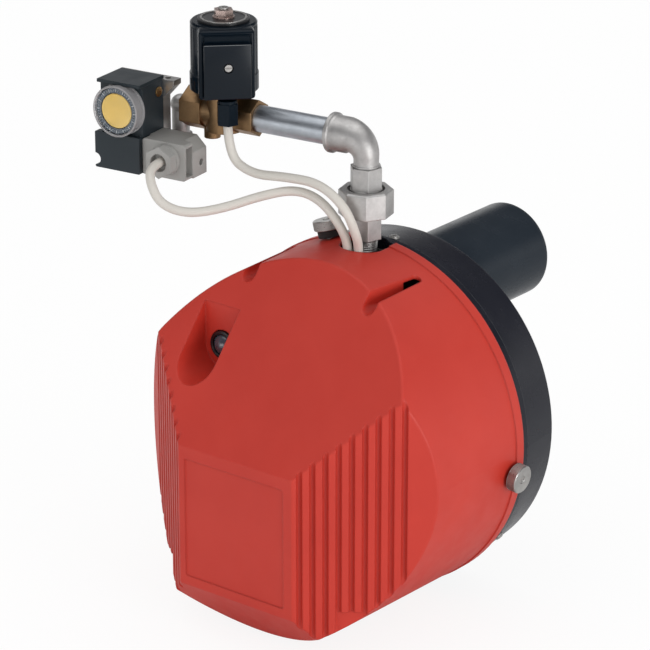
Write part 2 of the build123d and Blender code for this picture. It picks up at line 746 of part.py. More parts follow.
# controls inside the hood
def control_pieces():
    face = POCKET_Y + 6.6
    with BuildPart() as box:
        block(at(-74.5, 51, PLATE_Y), 57, 58, PLATE_Y + 17.5, corner=2)
        block(at(-74.5, 51, -18), 57, 58, -18.2 - face, corner=4)
        block(at(-74.5, 51, -17), 54, 55, 2)
        disc(at(POCKET_X, BUTTON_Z, face + 8), 8.7, 14, Mode.SUBTRACT)
    save(box, "control_box")
    with BuildPart() as bezel:
        with BuildSketch(at(POCKET_X, BUTTON_Z, face)):
            Circle(BEZEL_R)
            Circle(8.7, mode=Mode.SUBTRACT)
        extrude(amount=9.2)
        chamfer(bezel.faces().sort_by(Axis.Y)[0].edges(), 0.8)
    save(bezel, "button_bezel")
    with BuildPart() as button:
        disc(at(POCKET_X, BUTTON_Z, face + 5.3), 8.65, 12.5)
        with BuildSketch(Plane(origin=(POCKET_X, face - 7.2, BUTTON_Z), z_dir=(0, 0, 1))):
            with BuildLine():
                Polyline((8.65, 0), (0, 0), (0, -5))
                ThreePointArc((0, -5), (5.2, -3.2), (8.65, 0))
            make_face()
        revolve(axis=Axis((POCKET_X, 0, BUTTON_Z), (0, 1, 0)))
    save(button, "reset_button")
    with BuildPart() as transformer:
        block(at(75, 51, PLATE_Y), 56, 56, PLATE_Y + 60, corner=4)
        for x in (64, 86):
            disc(at(x, 60, -60), 6, 8)
    save(transformer, "ignition_transformer")
    with BuildPart() as terminal_box:
        front = slope_y(CABLE_TOP) + 22
        back = -24.5
        floor = CABLE_TOP - TERMINAL_T
        block(Plane(origin=(-3, (front + back) / 2, floor)), 54, back - front, TERMINAL_T)
        block(Plane(origin=(-21.5, (back - 0.5 + PLATE_Y) / 2, floor)), 17, PLATE_Y - back + 0.5, TERMINAL_T)
    save(terminal_box, "terminal_box")


# gas line from the hood's notch to the elbow
def manifold_piece():
    with BuildPart() as manifold:
        disc(Plane(origin=(0, RISER_Y, 68)), 13, 38)
        disc(at(0, TUBE_Z, PLATE_Y), 24, PLATE_Y - MANIFOLD_FACE)
        disc(at(0, TUBE_Z, 9), 11.4, 9 - RISER_Y)
        disc(Plane(origin=(0, RISER_Y, 88)), NIPPLE_R + RUN, 30, Mode.SUBTRACT)
        disc(Plane(origin=(0, RISER_Y, 76)), LINE_BORE, 30, Mode.SUBTRACT)
        disc(at(0, TUBE_Z, 10), GAS_TUBE_R + RUN, 14, Mode.SUBTRACT)
        disc(at(0, TUBE_Z, 0), LINE_BORE - 1, 14, Mode.SUBTRACT)
        for turn in INLET_SCREW_ANGLES:
            spot = polar(INLET_SCREW_R, turn)
            disc(at(spot[0], TUBE_Z + spot[1], PLATE_Y + 1), INLET_SHANK + RUN, 8, Mode.SUBTRACT)
    save(manifold, "gas_manifold")


def riser_pieces():
    with BuildPart() as nipple:
        disc(train_up(0, 0, 88), NIPPLE_R, 68)
        disc(train_up(0, 0, 80), LINE_BORE, 90, Mode.SUBTRACT)
        with BuildSketch(train_up(0, 0, 141.5)):
            Circle(NIPPLE_R + 1)
            Circle(NIPPLE_R - 0.6, mode=Mode.SUBTRACT)
        extrude(amount=0.9, mode=Mode.SUBTRACT)
    save(nipple, "riser_nipple")
    with BuildPart() as seat:
        hexagon(train_up(0, 0, 146.2), HEX_R, 20.8, 7.7)
        disc(train_up(0, 0, 167), 16.9, 10)
        disc(train_up(0, 0, 140), LINE_BORE, 50, Mode.SUBTRACT)
        disc(train_up(0, 0, 140), NIPPLE_R + RUN, 16.2, Mode.SUBTRACT)
    save(seat, "union_seat")
    with BuildPart() as nut:
        hexagon(train_up(0, 0, 166), 21.4, 20.3, 30.2, 8)
        disc(train_up(0, 0, 160), 16.9 + RUN, 20.1, Mode.SUBTRACT)
        disc(train_up(0, 0, 170), 14.6, 30, Mode.SUBTRACT)
        chamfer(nut.faces().sort_by(Axis.Z)[-1].outer_wire().edges(), 1.2)
    save(nut, "union_nut")
    with BuildPart() as tail:
        disc(train_up(0, 0, 177), 16.5, 3)
        disc(train_up(0, 0, 180), 12.5, 6)
        hexagon(train_up(0, 0, 185), HEX_R + 0.3, TAIL_TOP - 185, 7.7)
        disc(train_up(0, 0, 170), LINE_BORE, 40, Mode.SUBTRACT)
        disc(train_up(0, 0, TAIL_FLOOR - 0.1), NIPPLE_R + RUN, 30, Mode.SUBTRACT)
    save(tail, "union_tail")


def elbow_piece():
    """Elbow with a socket for the pipe, a quarter bend and a threaded leg in the union."""
    centre_z = LINE_Z - BEND
    bend_axis = Axis(train_point(-BEND, 0, centre_z), EY)
    with BuildPart() as elbow:
        disc(train_along(SOCKET_X, 0, LINE_Z), 13.8, -BEND - SOCKET_X)
        disc(train_along(SOCKET_X, 0, LINE_Z), 16.2, 4.2)
        for radius, mode in ((ELBOW_R, Mode.ADD), (ELBOW_BORE, Mode.SUBTRACT)):
            with BuildSketch(train_along(-BEND, 0, LINE_Z)) as section:
                Circle(radius)
            revolve(section.sketch, axis=bend_axis, revolution_arc=90, mode=mode)
        disc(train_up(0, 0, TAIL_TOP), ELBOW_R, centre_z - TAIL_TOP)
        disc(train_up(0, 0, TAIL_FLOOR), NIPPLE_R, TAIL_TOP - TAIL_FLOOR)
        disc(train_up(0, 0, TAIL_FLOOR - 1), ELBOW_BORE, centre_z - TAIL_FLOOR + 1, Mode.SUBTRACT)
        disc(train_along(PIPE_END - 0.5, 0, LINE_Z), ELBOW_BORE, 0.5 - BEND - PIPE_END, Mode.SUBTRACT)
        disc(
            train_along(SOCKET_X - 0.5, 0, LINE_Z), PIPE_R + RUN,
            PIPE_END - SOCKET_X + 0.5, Mode.SUBTRACT,
        )
    save(elbow, "street_elbow")


def pipe_piece():
    with BuildPart() as pipe:
        disc(train_along(-108, 0, LINE_Z), PIPE_R, 108 + PIPE_END)
        disc(train_along(-109, 0, LINE_Z), PIPE_R - 2.6, 109, Mode.SUBTRACT)
    save(pipe, "gas_pipe")


# solenoid valve
def coil_plane(out, side, z):
    """Plane on the coil's terminal side, a distance out from the coil's axis."""
    angle = radians(COIL_FACING)
    ahead = Vector(sin(angle), -cos(angle), 0)
    across = Vector(cos(angle), sin(angle), 0)
    origin = train_point(VALVE_X, 0, z) + ahead * out + across * side
    return Plane(origin=origin, x_dir=across, z_dir=ahead)


def valve_body_piece():
    left = -161.5
    with BuildPart() as body:
        hexagon(train_along(-115, 0, LINE_Z), 14.8, 18.8, 90)
        hexagon(train_along(left, 0, LINE_Z), 17.0, 19, 90)
        disc(train_along(-144, 0, LINE_Z), 13.5, 30)
        disc(train_up(VALVE_X, 0, 212), 14.5, 31)
        disc(train_up(VALVE_X, 0, 243), 12, 2.5)
        disc(train_up(-140, 0, 204), 6.5, 16)
        disc(train_front(INLET_X, 27, LINE_Z), 14.0, 27)
        disc(train_front(INLET_X, 27.5, LINE_Z), INLET_R, 14.5, Mode.SUBTRACT)
        disc(train_front(INLET_X, 20, LINE_Z), 7.0, 20, Mode.SUBTRACT)
        disc(train_along(left - 1, 0, LINE_Z), 6.5 + RUN, 10, Mode.SUBTRACT)
        disc(train_along(left, 0, LINE_Z), 4.5, 20, Mode.SUBTRACT)
        disc(train_along(-108, 0, LINE_Z), PIPE_R + RUN, 20, Mode.SUBTRACT)
        disc(train_along(-124, 0, LINE_Z), 7.5, 20, Mode.SUBTRACT)
        disc(train_up(VALVE_X, 0, 221), 8.0, 30, Mode.SUBTRACT)
        disc(train_up(VALVE_X, 0, 214), 4.0, 10, Mode.SUBTRACT)
        disc(train_up(-147, 0, 214), 4.0, 12, Mode.SUBTRACT)
        disc(train_along(-150, 0, 216.5), 2.8, 150 + VALVE_X, Mode.SUBTRACT)
    save(body, "valve_body")


def valve_inside_pieces():
    with BuildPart() as guide:
        disc(train_up(VALVE_X, 0, 236), 8.0 - RUN, 9)
        disc(train_up(VALVE_X, 0, 244), GUIDE_R, 302 - 244)
        disc(train_up(VALVE_X, 0, 302), 4.0, 9)
        disc(train_up(VALVE_X, 0, 230), PLUNGER_R + RUN, 44, Mode.SUBTRACT)
        block(train_up(VALVE_X, 0, 309.6), 6, 1.2, 3, Mode.SUBTRACT)
    save(guide, "armature_guide")
    with BuildPart() as plunger:
        disc(train_up(VALVE_X, 0, 221.0), PLUNGER_R, 41)
        disc(train_up(VALVE_X, 0, 256), 3.4, 8, Mode.SUBTRACT)
    save(plunger, "valve_plunger")


def coil_pieces():
    with BuildPart() as coil:
        disc(train_up(VALVE_X, 0, COIL_LOW), COIL_R, COIL_TOP - COIL_LOW)
        chamfer(coil.faces().sort_by(Axis.Z)[-1].edges(), 4)
        disc(train_up(VALVE_X, 0, COIL_LOW), COIL_R + 0.7, 15)
        block(coil_plane(10, 0, (COIL_LOW + 300.5) / 2), 36.8, 300.5 - COIL_LOW, 21, corner=3)
        disc(train_up(VALVE_X, 0, COIL_LOW - 1), GUIDE_R + RUN, 70, Mode.SUBTRACT)
    save(coil, "valve_coil")
    with BuildPart() as cap:
        disc(train_up(VALVE_X, 0, COIL_TOP), 20.3, 2)
        with BuildSketch(train_up(VALVE_X, 0, COIL_TOP + 1)):
            Circle(18.4)
            Circle(16.8, mode=Mode.SUBTRACT)
        extrude(amount=4, mode=Mode.SUBTRACT)
        disc(train_up(VALVE_X, 0, COIL_TOP - 1), GUIDE_R + RUN, 6, Mode.SUBTRACT)
    save(cap, "coil_cap")
    with BuildPart() as ring:
        with BuildSketch(train_up(VALVE_X, 0, COIL_TOP + 1)):
            Circle(18.35)
            Circle(16.85, mode=Mode.SUBTRACT)
        extrude(amount=1.5)
    save(ring, "coil_cap_ring")
    with BuildPart() as nut:
        disc(train_up(VALVE_X, 0, COIL_TOP + 2), 8.6, 1)
        hexagon(train_up(VALVE_X, 0, COIL_TOP + 3), 7.8, 5.6, 12)
        disc(train_up(VALVE_X, 0, COIL_TOP), 4.0 + RUN, 20, Mode.SUBTRACT)
    save(nut, "coil_nut")


def coil_terminal_pieces():
    angle = radians(COIL_FACING)
    across = Vector(cos(angle), sin(angle), 0)
    ahead = Vector(sin(angle), -cos(angle), 0)
    with BuildPart() as cover:
        edge = train_point(VALVE_X, 0, 0) + across * 15.4
        with BuildSketch(Plane(origin=edge, x_dir=ahead, z_dir=across * -1)):
            with BuildLine():
                Polyline(
                    (31, 247.6), (36.6, 247.6), (37.6, 249), (37.6, 291.6), (31, 297.2),
                    close=True,
                )
            make_face()
        extrude(amount=30.8)
        disc(coil_plane(35.6, 0.6, 272.6), 3.2, 5, Mode.SUBTRACT)
        disc(coil_plane(30, 0.6, 272.6), 1.5 + RUN, 10, Mode.SUBTRACT)
    save(cover, "terminal_cover")
    with BuildPart() as screw:
        disc(coil_plane(35.6, 0.6, 272.6), 2.9, 1.6)
        disc(coil_plane(31.1, 0.6, 272.6), 1.5, 5)
        block(coil_plane(36.6, 0.6, 272.6), 4.6, 0.8, 2, Mode.SUBTRACT)
    save(screw, "terminal_cover_screw")
    with BuildPart() as gland:
        low = Plane(origin=coil_plane(30, 0, 226).origin, x_dir=across, z_dir=(0, 0, 1))
        hexagon(low, 8.9, 17, 30)
        disc(low.offset(17), 7.4, COIL_LOW - 243)
        disc(low.offset(-1), CABLE_R + 0.1, 5, Mode.SUBTRACT)
    save(gland, "valve_gland")


# pressure line and switch
def small_elbow_piece():
    leg = LEG_X
    with BuildPart() as elbow:
        disc(train_up(leg, 0, 198.5), 7.0, LINE_Z - 198.5)
        disc(train_up(leg, 0, 198.5), 9.0, 4)
        disc(train_along(leg, 0, LINE_Z), 8.0, -161.5 - leg)
        with Locations(Location(train_point(leg, 0, LINE_Z))):
            Sphere(8.0)
        disc(train_along(-161.6, 0, LINE_Z), 6.5, 8)
        disc(train_up(leg, 0, 198), 5.6 + RUN, 11.5, Mode.SUBTRACT)
        disc(train_up(leg, 0, 198), 4.2, LINE_Z - 198, Mode.SUBTRACT)
        disc(train_along(leg, 0, LINE_Z), 4.2, 30, Mode.SUBTRACT)
    save(elbow, "pressure_elbow")


def switch_base_piece():
    leg = LEG_X
    with BuildPart() as base:
        with BuildSketch(train_front(0, SWITCH_BACK, 0)):
            with BuildLine():
                Polyline(
                    (-218, 251), (-162.5, 251), (-162.5, 247), (-172.7, 236), (-172.7, 184),
                    (-211, 184), (-211, 240), (-218, 247), close=True,
                )
            make_face()
        extrude(amount=10.4)
        block(train_up(-178, -5.5, 184), 34, 28, 12.5)
        disc(train_up(leg, 0, 196), PORT_R, 12.5)
        disc(train_up(leg, 0, 190), 3.8, 30, Mode.SUBTRACT)
        for x in (-209, -190, -171):
            disc(train_up(x, SWITCH_BACK - 5.2, 243), 2.6, 12, Mode.SUBTRACT)
    save(base, "switch_base")


def switch_body_pieces():
    front = SWITCH_BACK - 10.4
    with BuildPart() as body:
        block(train_front(-192, front, 217), 39, 70, 29)
        block(train_front(-193.6, -48, 196.8), 41.8, 29.6, 6, corner=1.2)
        block(train_front(-191.6, front, 253.2), 39.6, 2.6, 34.2)
        with BuildSketch(train_front(-214.5, -60, 188.7)):
            Circle(4.9)
            with Locations((-3, 0)):
                Rectangle(6, 9.8)
        extrude(amount=-14, mode=Mode.SUBTRACT)
        disc(train_front(-191, -45.5, 232.2), 3 + RUN, 8, Mode.SUBTRACT)
        disc(train_along(-176, front - 6.6, 242.7), 4.1, 10, Mode.SUBTRACT)
    save(body, "switch_body")
    with BuildPart() as screw:
        disc(train_along(-176, front - 6.6, 242.7), 4.0, 4.4)
        block(train_along(-172.6, front - 6.6, 242.7), 6, 1.0, 3, Mode.SUBTRACT)
    save(screw, "switch_test_screw")
    with BuildPart() as scale:
        with BuildSketch(train_front(-191, -48.9, 232.2)):
            Circle(18.6)
            Circle(14.3, mode=Mode.SUBTRACT)
        extrude(amount=4)
    save(scale, "dial_scale")
    with BuildPart() as dial:
        disc(train_front(-191, -49.2, 232.2), 14.0, 6.6)
        disc(train_front(-191, -46, 232.2), 3.0, 4)
        block(train_front(-191, -55, 232.2), 20, 1.6, 3, Mode.SUBTRACT)
    save(dial, "pressure_dial")
    with BuildPart() as cover:
        disc(train_front(-191, -48.9, 232.2), 19.6, 10.6)
        disc(train_front(-191, -48, 232.2), 18.65, 10.2, Mode.SUBTRACT)
    save(cover, "dial_cover")


def plug_pieces():
    front = SWITCH_BACK - 11
    with BuildPart() as plug:
        block(train_front(-152.5, front, 196.8), 40, 29.5, 19)
        side = train_front(-132.5, front, 211.5)
        with BuildSketch(side):
            with Locations((0, 0)):
                Rectangle(12, 12, rotation=45)
        extrude(amount=19, mode=Mode.SUBTRACT)
        disc(train_along(-142, -28, 192.5), 2.6, 12, Mode.SUBTRACT)
        block(train_front(-152.5, front - 18.9, 196.8), 40, 29.5, 10.6, corner=2.5)
        block(train_front(-134, front - 19.6, 196.8), 12, 23.5, 9, Mode.SUBTRACT)
        disc(train_front(-150, -49.2, 198), 8, 5, Mode.SUBTRACT)
    save(plug, "plug")
    with BuildPart() as gland:
        disc(train_front(-150, -49.3, 198), 7.9, 4)
        disc(train_front(-150, -50, 198), 12.4, 4)
        hexagon(train_front(-150, -54, 198), 13.0, 8, 30)
        disc(train_front(-150, -56, 198), 7.1, 8, Mode.SUBTRACT)
    save(gland, "plug_gland")


# cables
VALVE_CABLE = (
    (-106.3, -51.7, 230.0),
    (-106.3, -51.7, 201.0),
    (-83.7, -51.2, 189.7),
    (-51.2, -48.3, 193.4),
    (-22.0, -44.3, 193.6),
    (1.5, -43.0, 180.0),
    (7.6, -36.1, 156.6),
    (4.6, -28.6, 142.0),
    (4.6, -28.6, CABLE_TOP),
)
SWITCH_CABLE = (
    (-141.668, -88.606, 198.0),
    (-139.432, -106.064, 198.0),
    (-131.0, -115.0, 188.0),
    (-121.5, -114.0, 173.5),
    (-104.5, -102.5, 166.5),
    (-86.7, -80.4, 169.2),
    (-66.9, -60.8, 178.0),
    (-47.0, -42.5, 183.0),
    (-25.1, -39.1, 178.6),
    (-7.5, -37.9, 162.7),
    (-3.4, -30.6, 143.0),
    (-3.4, -30.6, CABLE_TOP),
)


def bend_radii(points):
    """Largest arc that each corner of the route takes without using up its runs."""
    spots = [Vector(*point) for point in points]
    radii = []
    for before, corner, after in zip(spots, spots[1:], spots[2:]):
        first = corner - before
        second = after - corner
        turn = radians(first.get_angle(second))
        radii.append(0.45 * min(first.length, second.length) / tan(turn / 2))
    return radii


def cable_piece(points, name):
    radii = bend_radii(points)
    with BuildPart() as cable:
        with BuildLine() as route:
            FilletPolyline(*points, radius=radii)
        with BuildSketch(Plane(origin=route.line @ 0, z_dir=route.line % 0)):
            Circle(CABLE_R)
        sweep()
    length = sum(edge.length for edge in route.edges())
    by_volume = cable.part.volume / (pi * CABLE_R ** 2)
    print(name, "bend radii", [round(radius, 1) for radius in radii])
    print(name, "length", round(length, 1), "length by volume", round(by_volume, 1))
    save(cable, name)


hood_piece()
fan_housing_piece()
inner_plate_piece()
knob_pieces()
screw_pieces()
blast_tube_piece()
flange_gasket_piece()
combustion_head_pieces()
fan_pieces()
shutter_pieces()
motor_pieces()
control_pieces()
manifold_piece()
riser_pieces()
elbow_piece()
pipe_piece()
valve_body_piece()
valve_inside_pieces()
coil_pieces()
coil_terminal_pieces()
small_elbow_piece()
switch_base_piece()
switch_body_pieces()
plug_pieces()
cable_piece(VALVE_CABLE, "valve_cable")
cable_piece(SWITCH_CABLE, "switch_cable")
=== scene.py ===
import json
from math import atan2, cos, pi, radians, sin

import bpy
from mathutils import Matrix, Vector


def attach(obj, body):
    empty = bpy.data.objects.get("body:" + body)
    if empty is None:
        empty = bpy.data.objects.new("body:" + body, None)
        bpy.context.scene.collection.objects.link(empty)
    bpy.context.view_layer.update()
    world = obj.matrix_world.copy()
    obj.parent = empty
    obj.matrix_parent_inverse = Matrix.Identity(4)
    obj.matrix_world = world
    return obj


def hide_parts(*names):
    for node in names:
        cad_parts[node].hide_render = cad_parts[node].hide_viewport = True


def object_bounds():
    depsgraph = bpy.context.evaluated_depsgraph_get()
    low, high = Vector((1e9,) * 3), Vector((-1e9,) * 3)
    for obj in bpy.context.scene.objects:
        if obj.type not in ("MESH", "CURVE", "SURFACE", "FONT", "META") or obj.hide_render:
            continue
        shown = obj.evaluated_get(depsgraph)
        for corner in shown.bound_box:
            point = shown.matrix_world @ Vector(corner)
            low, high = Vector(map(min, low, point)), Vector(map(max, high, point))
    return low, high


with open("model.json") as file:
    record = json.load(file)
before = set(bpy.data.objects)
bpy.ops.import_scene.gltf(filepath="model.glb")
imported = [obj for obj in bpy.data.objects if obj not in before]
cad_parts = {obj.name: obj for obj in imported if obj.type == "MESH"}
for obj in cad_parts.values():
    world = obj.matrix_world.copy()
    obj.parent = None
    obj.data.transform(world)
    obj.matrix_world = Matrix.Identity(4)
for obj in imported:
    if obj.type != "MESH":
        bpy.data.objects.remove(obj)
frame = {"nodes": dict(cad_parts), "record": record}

cad_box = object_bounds()
nodes = frame["nodes"]

# the model's frame starts at the boiler seat; drawings are read from the hood's rear rim
SEAT_Y = 50.4
SEAT_Z = 82.8
TRAIN_TURN = radians(7.3)


def spot(x, y, z):
    """Millimetres about the hood's rear rim, as a point of the scene."""
    return Vector((x, y - SEAT_Y, z - SEAT_Z)) / 1000


def train_spot(x, y, z):
    """Millimetres along and across the gas pipe, about the riser."""
    along = x * cos(TRAIN_TURN) - y * sin(TRAIN_TURN)
    across = x * sin(TRAIN_TURN) + y * cos(TRAIN_TURN) - 14.0
    return spot(along, across, z)


ALONG = Vector((cos(TRAIN_TURN), sin(TRAIN_TURN), 0))
FRONT = Vector((sin(TRAIN_TURN), -cos(TRAIN_TURN), 0))
UP = Vector((0, 0, 1))


# materials
def new_finish(name):
    material = bpy.data.materials.new(name)
    material.use_nodes = True
    tree = material.node_tree
    return material, tree, tree.nodes["Principled BSDF"]


def coords(tree, scale=(1, 1, 1), turn=(0, 0, 0), place=(0, 0, 0)):
    """Object coordinates, stretched or turned by a mapping."""
    source = tree.nodes.new("ShaderNodeTexCoord")
    mapping = tree.nodes.new("ShaderNodeMapping")
    mapping.inputs["Scale"].default_value = scale
    mapping.inputs["Rotation"].default_value = turn
    mapping.inputs["Location"].default_value = place
    tree.links.new(source.outputs["Object"], mapping.inputs["Vector"])
    return mapping.outputs["Vector"]


def noise(tree, vector, scale, detail=3.0, roughness=0.55):
    node = tree.nodes.new("ShaderNodeTexNoise")
    node.inputs["Scale"].default_value = scale
    node.inputs["Detail"].default_value = detail
    node.inputs["Roughness"].default_value = roughness
    tree.links.new(vector, node.inputs["Vector"])
    return node.outputs["Fac"]


def ramp(tree, source, low, high, first, last):
    """Colour from first to last as the source goes from low to high."""
    node = tree.nodes.new("ShaderNodeValToRGB")
    node.color_ramp.elements[0].position = low
    node.color_ramp.elements[0].color = (*first, 1)
    node.color_ramp.elements[1].position = high
    node.color_ramp.elements[1].color = (*last, 1)
    tree.links.new(source, node.inputs["Fac"])
    return node.outputs["Color"]


def level(tree, source, low, high, first, last):
    """Number from first to last as the source goes from low to high."""
    node = tree.nodes.new("ShaderNodeMapRange")
    node.inputs["From Min"].default_value = low
    node.inputs["From Max"].default_value = high
    node.inputs["To Min"].default_value = first
    node.inputs["To Max"].default_value = last
    tree.links.new(source, node.inputs["Value"])
    return node.outputs["Result"]


def bump(tree, bsdf, height, strength, distance, under=None):
    node = tree.nodes.new("ShaderNodeBump")
    node.inputs["Strength"].default_value = strength
    node.inputs["Distance"].default_value = distance
    tree.links.new(height, node.inputs["Height"])
    if under:
        tree.links.new(under, node.inputs["Normal"])
    tree.links.new(node.outputs["Normal"], bsdf.inputs["Normal"])
    return node.outputs["Normal"]


def rounded(tree, radius):
    """Normals that soften a piece's edges by a small radius."""
    node = tree.nodes.new("ShaderNodeBevel")
    node.samples = 6
    node.inputs["Radius"].default_value = radius
    return node.outputs["Normal"]


def moulded(
    name, colour, lighter, rough, edge=0.0008, grain=2600, depth=0.00003, shine=0.5
):
    """Moulded or painted surface: faint clouds of colour over a fine grain."""
    material, tree, bsdf = new_finish(name)
    vector = coords(tree)
    clouds = noise(tree, vector, 14, 4)
    fine = noise(tree, vector, grain, 2)
    tree.links.new(ramp(tree, clouds, 0.35, 0.7, colour, lighter), bsdf.inputs["Base Color"])
    spread = level(tree, noise(tree, vector, 60, 3), 0.3, 0.7, rough - 0.05, rough + 0.06)
    tree.links.new(spread, bsdf.inputs["Roughness"])
    bump(tree, bsdf, fine, 0.35, depth, rounded(tree, edge))
    bsdf.inputs["Specular IOR Level"].default_value = shine
    return material


def metal(
    name, colour, darker, rough, edge=0.0006, brushed=(1, 1, 1), grain=900, depth=0.00003
):
    """Bare or plated metal with uneven tarnish and a brushed or cast grain."""
    material, tree, bsdf = new_finish(name)
    vector = coords(tree, brushed)
    tarnish = noise(tree, coords(tree), 45, 5, 0.65)
    fine = noise(tree, vector, grain, 3)
    tree.links.new(ramp(tree, tarnish, 0.35, 0.68, colour, darker), bsdf.inputs["Base Color"])
    spread = level(tree, fine, 0.3, 0.7, rough - 0.07, rough + 0.09)
    tree.links.new(spread, bsdf.inputs["Roughness"])
    bump(tree, bsdf, fine, 0.4, depth, rounded(tree, edge))
    bsdf.inputs["Metallic"].default_value = 1.0
    return material


def clear_plastic(name, tint, clearness, ior, rough):
    """See-through moulding with a faint uneven haze."""
    material, tree, bsdf = new_finish(name)
    bsdf.inputs["Transmission Weight"].default_value = clearness
    bsdf.inputs["IOR"].default_value = ior
    haze = noise(tree, coords(tree), 90, 2)
    darker = [part * 0.94 for part in tint]
    tree.links.new(ramp(tree, haze, 0.3, 0.7, tint, darker), bsdf.inputs["Base Color"])
    tree.links.new(level(tree, haze, 0.3, 0.7, rough, rough + 0.05), bsdf.inputs["Roughness"])
    return material


red_hood = moulded(
    "red_hood", (0.51, 0.032, 0.019), (0.55, 0.038, 0.023), 0.46, 0.0018, 1800, 0.00006, shine=0.36,
)
black_paint = moulded(
    "black_paint", (0.009, 0.010, 0.016), (0.014, 0.015, 0.022), 0.25, 0.0012, shine=0.20,
)
black_enamel = moulded(
    "black_enamel", (0.016, 0.022, 0.030), (0.021, 0.028, 0.037), 0.24, 0.004, shine=0.12,
)
coil_moulding = moulded(
    "coil_moulding", (0.0012, 0.005, 0.010), (0.003, 0.008, 0.014), 0.22, shine=0.14,
)
lid_moulding = moulded(
    "lid_moulding", (0.001, 0.004, 0.008), (0.002, 0.006, 0.012), 0.20, shine=0.26,
)
# sloping top of the terminal lid: its lighter colour is a painted highlight; its full coat and
# shine make it glossier
lid_slope_painted_highlight = moulded("lid_slope_painted_highlight", (0.020, 0.026, 0.030), (0.030, 0.037, 0.042), 0.24, shine=1.0)
lid_slope_painted_highlight.node_tree.nodes["Principled BSDF"].inputs["Coat Weight"].default_value = 1.0
polished_button = moulded(
    "polished_button", (0.055, 0.060, 0.080), (0.065, 0.070, 0.090), 0.14, shine=0.9,
)
switch_moulding = moulded(
    "switch_moulding", (0.017, 0.025, 0.031), (0.024, 0.032, 0.039), 0.36, shine=0.30,
)
grey_moulding = moulded("grey_moulding", (0.30, 0.295, 0.285), (0.36, 0.355, 0.34), 0.5, 0.0012)
control_moulding = moulded("control_moulding", (0.16, 0.17, 0.19), (0.21, 0.22, 0.24), 0.5)
black_moulding = moulded("black_moulding", (0.004, 0.004, 0.006), (0.008, 0.008, 0.010), 0.30)
soft_rubber = moulded("soft_rubber", (0.010, 0.010, 0.010), (0.018, 0.018, 0.018), 0.7)
fibre_board = moulded(
    "fibre_board", (0.62, 0.58, 0.50), (0.72, 0.69, 0.62), 0.9, grain=700, depth=0.0002,
)
glazed_white = moulded("glazed_white", (0.78, 0.76, 0.71), (0.84, 0.82, 0.78), 0.18)
white_sheath = moulded("white_sheath", (0.60, 0.57, 0.52), (0.66, 0.63, 0.58), 0.45, grain=1500)
yellow_dial = moulded("yellow_dial", (0.86, 0.56, 0.13), (0.92, 0.68, 0.30), 0.5)
scale_grey = moulded("scale_grey", (0.10, 0.12, 0.15), (0.15, 0.17, 0.20), 0.4)
print_white = moulded("print_white", (0.55, 0.56, 0.56), (0.65, 0.66, 0.66), 0.5)
zinc = metal("zinc", (0.50, 0.49, 0.47), (0.37, 0.36, 0.35), 0.32)
pipe_zinc = metal("pipe_zinc", (0.50, 0.53, 0.57), (0.38, 0.41, 0.45), 0.38, brushed=(0.1, 1, 1))
cast_grey = metal(
    "cast_grey", (0.54, 0.53, 0.52), (0.40, 0.39, 0.385), 0.50, 0.001, grain=500, depth=0.0001,
)
forged_brass = metal(
    "forged_brass", (0.33, 0.205, 0.105), (0.22, 0.14, 0.075), 0.44, 0.001, grain=420,
    depth=0.00012,
)
turned_brass = metal("turned_brass", (0.50, 0.30, 0.12), (0.36, 0.22, 0.10), 0.30)
die_cast = metal("die_cast", (0.62, 0.61, 0.59), (0.44, 0.43, 0.42), 0.42, grain=500)
plated_copper = metal(
    "plated_copper", (0.56, 0.43, 0.39), (0.40, 0.31, 0.28), 0.28, edge=0.0003, depth=0.00001,
)
dull_steel = metal("dull_steel", (0.30, 0.30, 0.31), (0.22, 0.22, 0.23), 0.4)
cup = clear_plastic("clear_cup", (0.97, 0.98, 0.98), 1.0, 1.15, 0.01)
hazy = clear_plastic("hazy_cup", (0.55, 0.54, 0.55), 0.55, 1.45, 0.10)

FINISHES = {
    "red_plastic": red_hood,
    "black_housing": black_paint,
    "black_tube": black_enamel,
    "gasket_fibre": fibre_board,
    "zinc_steel": zinc,
    "grey_iron": cast_grey,
    "pipe_steel": pipe_zinc,
    "brass": forged_brass,
    "aluminium": die_cast,
    "coil_black": coil_moulding,
    "switch_black": switch_moulding,
    "plug_grey": grey_moulding,
    "black_plastic": black_moulding,
    "cable_sheath": white_sheath,
    "clear_plastic": cup,
    "dial_yellow": yellow_dial,
    "dial_grey": scale_grey,
    "white_ceramic": glazed_white,
    "copper_plate": plated_copper,
    "control_grey": control_moulding,
    "rubber_black": soft_rubber,
    "dark_steel": dull_steel,
}


def dress(node, material):
    data = nodes[node].data
    data.materials.clear()
    data.materials.append(material)


for part in frame["record"]["subparts"]:
    dress(part["node"], FINISHES[part["material_slot"]])
dress("switch_test_screw", turned_brass)
dress("coil_cap_ring", zinc)
dress("reset_button", polished_button)

bpy.ops.object.select_all(action="DESELECT")


# modelling steps shared by the pieces
def select_only(piece):
    bpy.ops.object.select_all(action="DESELECT")
    piece.select_set(True)
    bpy.context.view_layer.objects.active = piece


def shape(step):
    """Runs edit-mode steps on all of the active piece."""
    bpy.ops.object.mode_set(mode="EDIT")
    bpy.ops.mesh.select_mode(type="VERT")
    bpy.ops.mesh.select_all(action="SELECT")
    step()
    bpy.ops.object.mode_set(mode="OBJECT")


